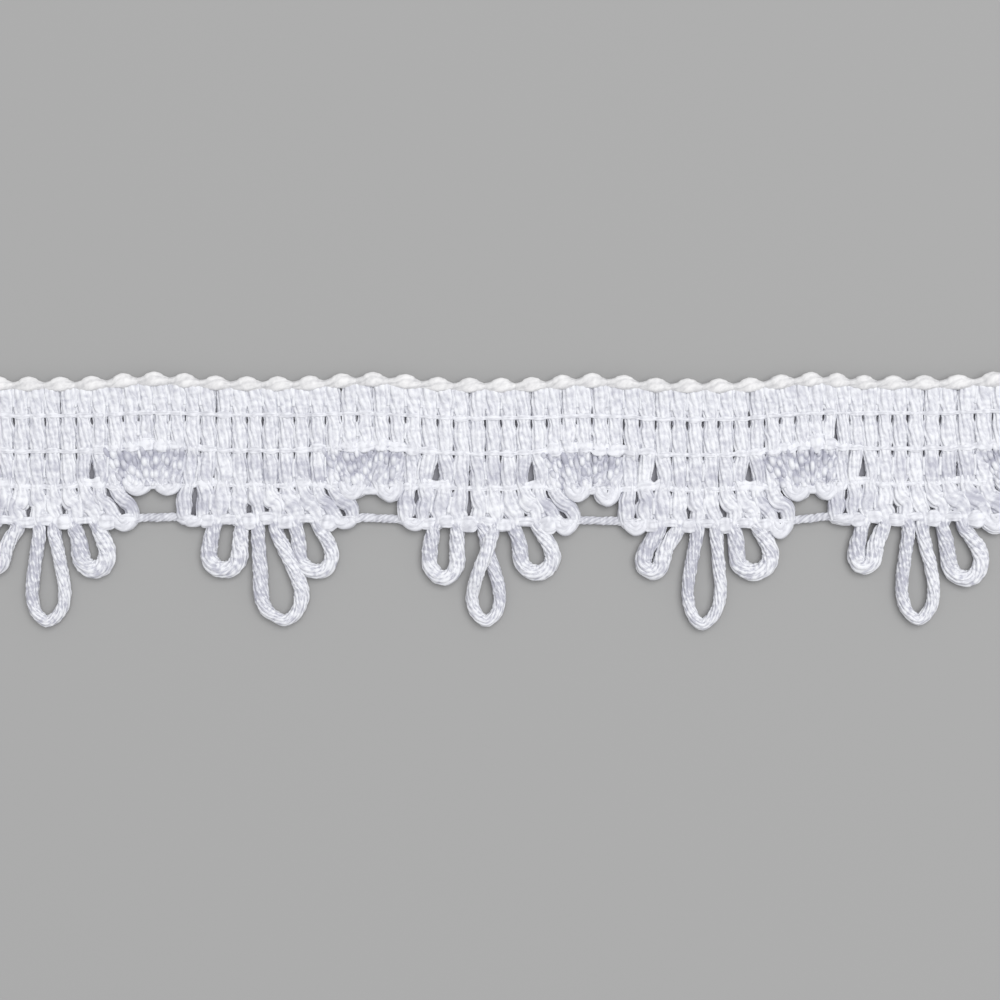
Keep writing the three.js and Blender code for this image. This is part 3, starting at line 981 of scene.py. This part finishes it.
def loop_rows(loop):
    """A picot loop between its two roots; a crossed loop lifts its second leg over its first."""
    middle = scallop_middle(loop["scallop"])
    crossed = loop["first_belly"] > loop["second_belly"]
    long = loop["tip_drop"] > LONG_LOOP_DROP
    tip_half = LOOP_HALF_TIP if long else loop["half"]
    point = LONG_LOOP_POINT if long else 1.0
    tip_drop = loop["tip_drop"] + LOOP_HALF_TIP - tip_half
    cross_lift = CROSS_LIFT if crossed else 0.0
    rows = []

    def add(along, drop, half, shade, lift=0.0):
        place = (middle + along, ROW_D - drop, YARN_HEIGHT + lift)
        rows.append((*place, half, LOOP_HALF_HEIGHT, LAY_LOOP, shade, *LOOP_FINISH))

    def add_leg(leg, share, shade, lift=0.0):
        root = loop[leg + "_root"]
        along = root + (loop[leg + "_belly"] - root) * smoothstep(share)
        half = LOOP_HALF_ROOT + (loop["half"] - LOOP_HALF_ROOT) * share
        add(along, loop["belly_drop"] * share, half, shade, lift)

    add(loop["first_root"], ROOT_DROP, LOOP_HALF_ROOT, 0.0)
    for share in LEG_SHARES:
        add_leg("first", share, FIRST_LEG_SHADE)
    for degrees in range(0, 180 + LOOP_DEGREES, LOOP_DEGREES):
        belly = loop["first_belly" if degrees < 90 else "second_belly"]
        out = abs(math.cos(math.radians(degrees))) ** point
        down = math.sin(math.radians(degrees))
        along = loop["tip"] + (belly - loop["tip"]) * out
        drop = loop["belly_drop"] + (tip_drop - loop["belly_drop"]) * down
        shade = FIRST_LEG_SHADE if degrees == 0 else SECOND_LEG_SHADE
        add(along, drop, loop["half"] + (tip_half - loop["half"]) * down, shade)
    for share in reversed(LEG_SHARES):
        add_leg("second", share, SECOND_LEG_SHADE, cross_lift * math.sin(math.pi * share))
    add(loop["second_root"], ROOT_DROP, LOOP_HALF_ROOT, 0.0)
    return rows


def top_rows(place):
    """The turn at the plain edge over a boundary between two columns."""
    y = edge_line(place) - TURN_TUCK
    return [(along_trim(place), y, TURN_HEIGHT, *TURN_HALVES, LAY_COLUMN, 0.0, *COLUMN_FINISH)]


def bottom_rows(index):
    """The turn, or the loop, that joins a column to the next one at the lower edge."""
    column = index % COLUMNS
    _, left_third, left_bottom = column_anchor(index)
    _, right_third, right_bottom = column_anchor(index + 1)
    _, drop = turn_at(index)
    if column in LEAF_COLUMNS:
        return turn_rows(left_third, right_third, ROW_C + lift_at(index + 1), drop)
    if column in BESIDE_LEAF:
        return turn_rows(left_bottom, right_bottom, ROW_D, drop)
    return loop_rows(loop_at(index))


def filling_yarn(repeat):
    """The filling yarn of one repeat, from the top of its left end to the top of its right end."""
    rng = seeded("filling", repeat)
    first = repeat * COLUMNS
    rows = top_rows(first)
    for index in range(first, first + COLUMNS, 2):
        rows += column_rows(index, rng)
        rows += bottom_rows(index)
        rows += reversed(column_rows(index + 1, rng))
        rows += top_rows(index + 2)
    samples = spline(rows, YARN_STEP)
    half_width, half_height, lay, shade, *finish = samples[:, 3:].T
    yarn = YarnMesh()
    yarn.rope(samples[:, :3], (half_width, half_height), lay, shade, finish, PLIES, rng)
    return yarn.build(f"filling_{repeat}", lustrous)


# Chain rows: control rows of x, y, z, size, lay, groove and shade, from crests of x, y, size, sink and shade


def chain_crests(line, bow, gap_swell):
    """A chain row over every column, thicker and whiter at the gaps."""
    crests = []
    for k in range(ALL_COLUMNS):
        place = k + 0.5
        size = 1.0 + gap_swell * gap_share(place)
        shade = CHAIN_GAP_SHADE * (size - 1.0) / CHAIN_GAP_SWELL
        crests.append((along_trim(place), row_line(line, bow, place), size, 0.0, shade))
    return crests


def third_chain_crests():
    """The third chain, which sinks out of sight at the gaps and rises below the wedge slits."""
    crests = []
    for k in range(ALL_COLUMNS):
        column = k % COLUMNS
        sink = CHAIN_SINK if column in LEAF_COLUMNS else THIRD_CHAIN_SINK
        y = ROW_C + lift_at(k + 0.5)
        size = THIRD_CHAIN_SIZE
        shade = 0.0
        if column in WEDGE_COLUMNS:
            y += WEDGE_RISE
            size = WEDGE_LUMP
            shade = CHAIN_GAP_SHADE
        crests.append((column_middle(k, "c"), y, size, sink, shade))
    return crests


def bottom_chain_crests():
    """The bottom chain, in lumps below each fan."""
    crests = []
    for repeat in range(REPEATS):
        for lump in LUMPS:
            place = repeat * COLUMNS + lump["boundary"]
            before = int(place - 0.5)
            share = place - 0.5 - before
            x = column_middle(before, "d") * (1 - share) + column_middle(before + 1, "d") * share
            crests.append((x, ROW_D + lift_at(place) - lump["drop"], lump["size"], 0.0, 0.0))
    return crests


def chain_rows(crests, crest, dip, cord, sink_share, rng):
    """A thread that rises over each crest and dips between them, and runs level where it is bare."""
    on_column = (CHAIN_LAY, CHAIN_GROOVE)
    bare = (cord, CORD_SIZE, CORD_LAY, CORD_GROOVE, CORD_SHADE)
    rows = [(-LENGTH / 2, crests[0][1] + CORD_RISE, *bare)]
    for k, (x, y, size, sink, shade) in enumerate(crests):
        if k > 0:
            before_x, before_y, before_size, _, before_shade = crests[k - 1]
            middle_x = (x + before_x) / 2
            middle_y = (y + before_y) / 2
            if x - before_x > CORD_SPAN * PITCH:
                rows.append((before_x + CORD_START * PITCH, before_y + CORD_RISE, *bare))
                rows.append((middle_x, middle_y + CORD_RISE, *bare))
                rows.append((x - CORD_START * PITCH, y + CORD_RISE, *bare))
            else:
                dip_size = CHAIN_DIP_SIZE * (size + before_size) / 2
                dip_shade = (shade + before_shade) / 2
                rows.append((middle_x, middle_y, dip - sink * sink_share, dip_size, *on_column, dip_shade))
        y += rng.normal(0.0, CHAIN_SHAKE)
        z = crest - sink * sink_share
        size *= 1.0 + CHAIN_SIZE_SPREAD * rng.normal()
        rows.append((x - CHAIN_FLAT, y, z, size, *on_column, shade))
        rows.append((x + CHAIN_FLAT, y, z, size, *on_column, shade))
    rows.append((LENGTH / 2, crests[-1][1] + CORD_RISE, *bare))
    return rows


def chain(name, crests, swell_height):
    rng = seeded(name)
    thread = YarnMesh()
    face = spline(chain_rows(crests, CHAIN_CREST, CHAIN_DIP, CORD_HEIGHT, 1.0, rng), CHAIN_STEP)
    size, lay, groove, shade = face[:, 3:].T
    halves = (CHAIN_HALF_WIDTH * size, CHAIN_HALF_HEIGHT * (1.0 + swell_height * (size - 1.0)))
    thread.plain_rope(face[:, :3], halves, lay, shade, groove, CHAIN_GRAIN, CHAIN_PLIES, rng)
    back = spline(chain_rows(crests, BACK_CREST, BACK_DIP, BACK_CORD_HEIGHT, 0.0, rng), CHAIN_STEP)
    thread.tube(back[:, :3], np.full(len(back), BACK_RADIUS), BACK_SIDES, np.zeros(len(back)), rng)
    return thread.build(name, chained)


# Edges: the turns of the yarn, drawn tight into smooth bumps and crescents


def edge_rope(made, path, halves, shade, rng):
    made.plain_rope(path, halves, EDGE_LAY, shade, EDGE_GROOVE, 0.0, EDGE_PLIES, rng)


def edge_turns():
    """A row of small bumps along the plain edge, one over every second boundary."""
    rng = seeded("edge_turns")
    made = YarnMesh()
    for boundary in range(0, ALL_COLUMNS + 1, 2):
        rows = []
        for step in BUMP:
            place = boundary + step["along"]
            if 0 <= place <= ALL_COLUMNS:
                y = edge_line(place) + step["rise"]
                rows.append((along_trim(place), y, step["height"], step["size"]))
        samples = spline(rows, EDGE_STEP)
        size = samples[:, 3]
        shade = EDGE_NECK_SHADE * (1.0 - size)
        edge_rope(made, samples[:, :3], (EDGE_HALF_WIDTH * size, EDGE_HALF_HEIGHT * size), shade, rng)
    return made.build("edge_turns", matte)


def add_crescents(made, index, stretch, line, rng):
    """The crescents of one turn below a chain row, one inside the other."""
    _, drop = turn_at(index)
    left = column_middle(index, stretch)
    right = column_middle(index + 1, stretch)
    middle = (left + right) / 2
    reach = max(drop - CRESCENT_HALF_WIDTH, CRESCENT_REACH_LEAST)
    for share in CRESCENT_SHARES:
        rows = []
        for step in CRESCENT:
            x = middle + share * step["out"] * (right - left) / 2
            rows.append((x, line - share * step["down"] * reach, step["height"], step["size"]))
        samples = spline(rows, EDGE_STEP)
        size = samples[:, 3]
        halves = (CRESCENT_HALF_WIDTH * size, CRESCENT_HALF_HEIGHT * size)
        edge_rope(made, samples[:, :3], halves, 0.0, rng)


def crescents():
    """Crescents at every lower turn that is no loop, and a link between the two turns of each gap."""
    rng = seeded("crescents")
    made = YarnMesh()
    for index in range(0, ALL_COLUMNS, 2):
        lift = lift_at(index + 1)
        if index % COLUMNS in LEAF_COLUMNS:
            add_crescents(made, index, "c", ROW_C + lift, rng)
        elif index % COLUMNS in BESIDE_LEAF:
            add_crescents(made, index, "d", ROW_D + lift, rng)
    for gap in range(1, REPEATS):
        turn = GAP_TURNS[gap]
        y = ROW_C + lift_at(gap * COLUMNS) - turn["notch"] + LINK_HALF_WIDTH
        rows = [(gap_middle(gap) + turn[side], y, LINK_HEIGHT) for side in ("left", "right")]
        path = spline(rows, EDGE_STEP)
        level = np.ones(len(path))
        edge_rope(made, path, (LINK_HALF_WIDTH * level, LINK_HALF_HEIGHT * level), 0.0, rng)
    return made.build("crescents", chained)


# Loose plies


def leaf_plies():
    """Plies on the patches above the gaps, which come up and go under in turn, in painted light and shade.
    """
    rng = seeded("leaf_plies")
    made = YarnMesh()
    for gap in range(REPEATS + 1):
        place = gap * COLUMNS
        low = ROW_C + lift_at(place)
        for k, lean in enumerate(LEAF_PLY_LEANS):
            along = LEAF_PLY_FIRST + LEAF_PLY_SPACING * k
            top = row_line(ROW_B, ROW_B_BOW, place + along / PITCH)
            x = gap_middle(gap) + along + rng.normal(0.0, LEAF_PLY_SHAKE)
            if abs(x) > LENGTH / 2 - END_CLEAR:
                continue
            path = straight((x, top, LEAF_PLY_HEIGHT), (x + lean, low, LEAF_PLY_HEIGHT))
            period = rng.uniform(*LEAF_PLY_PERIODS)
            travelled = distance_along(path)
            turn = travelled / period + LEAF_PLY_STAGGER * k + LEAF_PLY_PHASE * rng.normal()
            wave = np.sin(FULL_TURN * turn)
            path[:, 2] += LEAF_PLY_WAVE * wave
            radii = np.full(len(path), rng.uniform(*LEAF_PLY_RADII))
            # painted shadow under the second chain, deeper towards the top of the patch
            top_shade = LEAF_PLY_TOP_SHADE * (0.5 - travelled / travelled[-1])
            blotches = LEAF_PLY_SPREAD * drift(travelled, rng, LEAF_PLY_DRIFT)
            # painted shade over the patch, random blotches, and painted light where the ply comes up
            shade = LEAF_PLY_SHADE + top_shade + blotches - LEAF_PLY_LIGHT_AND_SHADE * wave
            made.tube(path, radii, PLY_SIDES, shade, rng)
    return made.build("leaf_plies", lustrous)


def bridge_plies():
    """Plies that lie over the line between two columns wherever these press together."""
    rng = seeded("bridge_plies")
    made = YarnMesh()
    for index in range(1, ALL_COLUMNS):
        edge = edge_line(index) - COLUMN_TUCK
        row_a = row_line(ROW_A, ROW_A_BOW, index)
        row_b = row_line(ROW_B, ROW_B_BOW, index)
        row_c = ROW_C + lift_at(index)
        row_d = ROW_D + lift_at(index)
        stretches = [
            ("ta", "ta", edge + BRIDGE_TRIM, row_a),
            ("ab", "ab", row_a, row_b),
        ]
        if index % COLUMNS in FAN_BOUNDARIES:
            stretches.append(("bc_top", "bc", row_b, row_c))
            stretches.append(("cd_top", "cd", row_c, row_d))
        for upper, lower, top, low in stretches:
            if slit_half(index, lower) > BRIDGE_LIMIT:
                continue
            start = (column_boundary(index, upper), top - BRIDGE_TRIM, BRIDGE_HEIGHT)
            end = (column_boundary(index, lower), low + BRIDGE_TRIM, BRIDGE_HEIGHT)
            path = straight(start, end)
            travelled = distance_along(path)
            path[:, 0] += BRIDGE_WANDER * drift(travelled, rng, BRIDGE_DRIFT)
            radius = rng.uniform(*BRIDGE_RADII)
            radii = radius * (1.0 + BRIDGE_SWELL * drift(travelled, rng, BRIDGE_SWELL_DRIFT))
            shade = BRIDGE_TINT * drift(travelled, rng, BRIDGE_TINT_DRIFT)
            made.tube(path, radii, PLY_SIDES, shade, rng)
    return made.build("bridge_plies", lustrous)


# Painted shade in the slits: a thin dark ribbed web inside the columns, seen only at the bottom of the slits


def web_rib(place):
    return WEB_HEIGHT - WEB_RIB * abs(math.cos(math.pi * place))


def web_mesh():
    """Points and faces of the web, row by row down the heading and then down each fan."""
    levels = (
        (EDGE_LINE - WEB_TOP_TUCK, EDGE_BOW),
        (ROW_A, ROW_A_BOW),
        ((ROW_A + ROW_B) / 2, (ROW_A_BOW + ROW_B_BOW) / 2),
        (ROW_B, ROW_B_BOW),
        ((ROW_B + ROW_C) / 2, ROW_B_BOW / 2),
        (ROW_C - WEB_LOW_REACH, 0.0),
    )
    places = np.linspace(WEB_INSET, ALL_COLUMNS - WEB_INSET, ALL_COLUMNS * WEB_PER_COLUMN + 1)
    vertices = []
    faces = []

    def add_row(points, above):
        first = len(vertices)
        vertices.extend(points)
        row = range(first, len(vertices))
        for k in range(len(above) - 1):
            faces.append((above[k], row[k], row[k + 1], above[k + 1]))
        return row

    lowest = ()
    for level, bow in levels:
        points = [(along_trim(p), row_line(level, bow, p), web_rib(p)) for p in places]
        lowest = add_row(points, lowest)
    for repeat in range(REPEATS):
        start = repeat * COLUMNS
        kept = [k for k, p in enumerate(places) if start + WEB_FAN[0] <= p <= start + WEB_FAN[1]]
        left = column_middle(start + FAN_FIRST, "d")
        right = column_middle(start + FAN_LAST, "d")
        shares = np.linspace(0.0, 1.0, len(kept))
        above = [lowest[k] for k in kept]
        for down in WEB_FAN_ROWS:
            points = []
            for share, k in zip(shares, kept):
                x, y, z = vertices[lowest[k]]
                low_x = left + (right - left) * share
                low_y = ROW_D + lift_at(places[k])
                points.append((x + (low_x - x) * down, y + (low_y - y) * down, z))
            above = add_row(points, above)
    return vertices, faces


def slit_shade_sheet():
    vertices, faces = web_mesh()
    mesh = bpy.data.meshes.new("slit_shade")
    mesh.from_pydata([tuple(c * MM for c in v) for v in vertices], [], faces)
    # dark colour: painted shade seen through the slits
    material, _ = new_material("slit_shade_web", WEB_SHADE_COLOR, WEB_ROUGHNESS)
    made = piece("slit_shade", mesh, material)
    solid = made.modifiers.new("thickness", "SOLIDIFY")
    solid.thickness = WEB_THICKNESS * MM
    solid.offset = 0.0
    mesh.polygons.foreach_set("use_smooth", np.ones(len(faces), bool))
    return made


# Camera, floor and light


def camera():
    """Looks straight down, as the photo does."""
    data = bpy.data.cameras.new("camera")
    data.lens = LENS
    data.sensor_width = SENSOR
    data.clip_start = CLIP_START
    made = bpy.data.objects.new("camera", data)
    distance = PHOTO_FRAME * LENS / SENSOR
    made.location = (PHOTO_MIDDLE_X * MM, 0.0, (distance + YARN_HEIGHT) * MM)
    bpy.context.collection.objects.link(made)
    bpy.context.scene.camera = made


def floor():
    mesh = bpy.data.meshes.new("floor")
    corners = [(x * FLOOR_HALF, y * FLOOR_HALF, 0.0) for x, y in ((-1, -1), (1, -1), (1, 1), (-1, 1))]
    mesh.from_pydata(corners, [], [(0, 1, 2, 3)])
    made = bpy.data.objects.new("floor", mesh)
    bpy.context.collection.objects.link(made)
    material, _ = new_material("floor_grey", (FLOOR_GREY, FLOOR_GREY, FLOOR_GREY), FLOOR_ROUGHNESS)
    mesh.materials.append(material)


def light():
    """An even white dome, and a soft round box up to the right."""
    world = bpy.data.worlds.new("studio")
    world.use_nodes = True
    background = world.node_tree.nodes["Background"]
    background.inputs["Color"].default_value = (1.0, 1.0, 1.0, 1.0)
    background.inputs["Strength"].default_value = DOME_STRENGTH
    bpy.context.scene.world = world
    data = bpy.data.lights.new("soft_box", "AREA")
    data.shape = "DISK"
    data.size = SOFT_BOX_SIZE
    data.energy = SOFT_BOX_WATTS
    made = bpy.data.objects.new("soft_box", data)
    made.location = SOFT_BOX_PLACE
    made.rotation_euler = Vector(SOFT_BOX_PLACE).to_track_quat("Z", "Y").to_euler()
    bpy.context.collection.objects.link(made)
    bpy.context.scene.view_settings.view_transform = "Standard"


lustrous = yarn_material("lustrous_yarn")
chained = yarn_material("chain_thread")
matte = yarn_material("matte_thread")
camera()
floor()
light()

fillings = [filling_yarn(repeat) for repeat in range(REPEATS)]
chains = [
    chain("chain_a", chain_crests(ROW_A, ROW_A_BOW, 0.0), CHAIN_SWELL_HEIGHT),
    chain("chain_b", chain_crests(ROW_B, ROW_B_BOW, CHAIN_GAP_SWELL), CHAIN_SWELL_HEIGHT),
    chain("chain_c", third_chain_crests(), CHAIN_SWELL_HEIGHT),
    chain("chain_d", bottom_chain_crests(), BOTTOM_CHAIN_SWELL),
]
edges = [edge_turns(), crescents(), leaf_plies(), bridge_plies()]
slit_shade = slit_shade_sheet()
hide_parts(NODE)
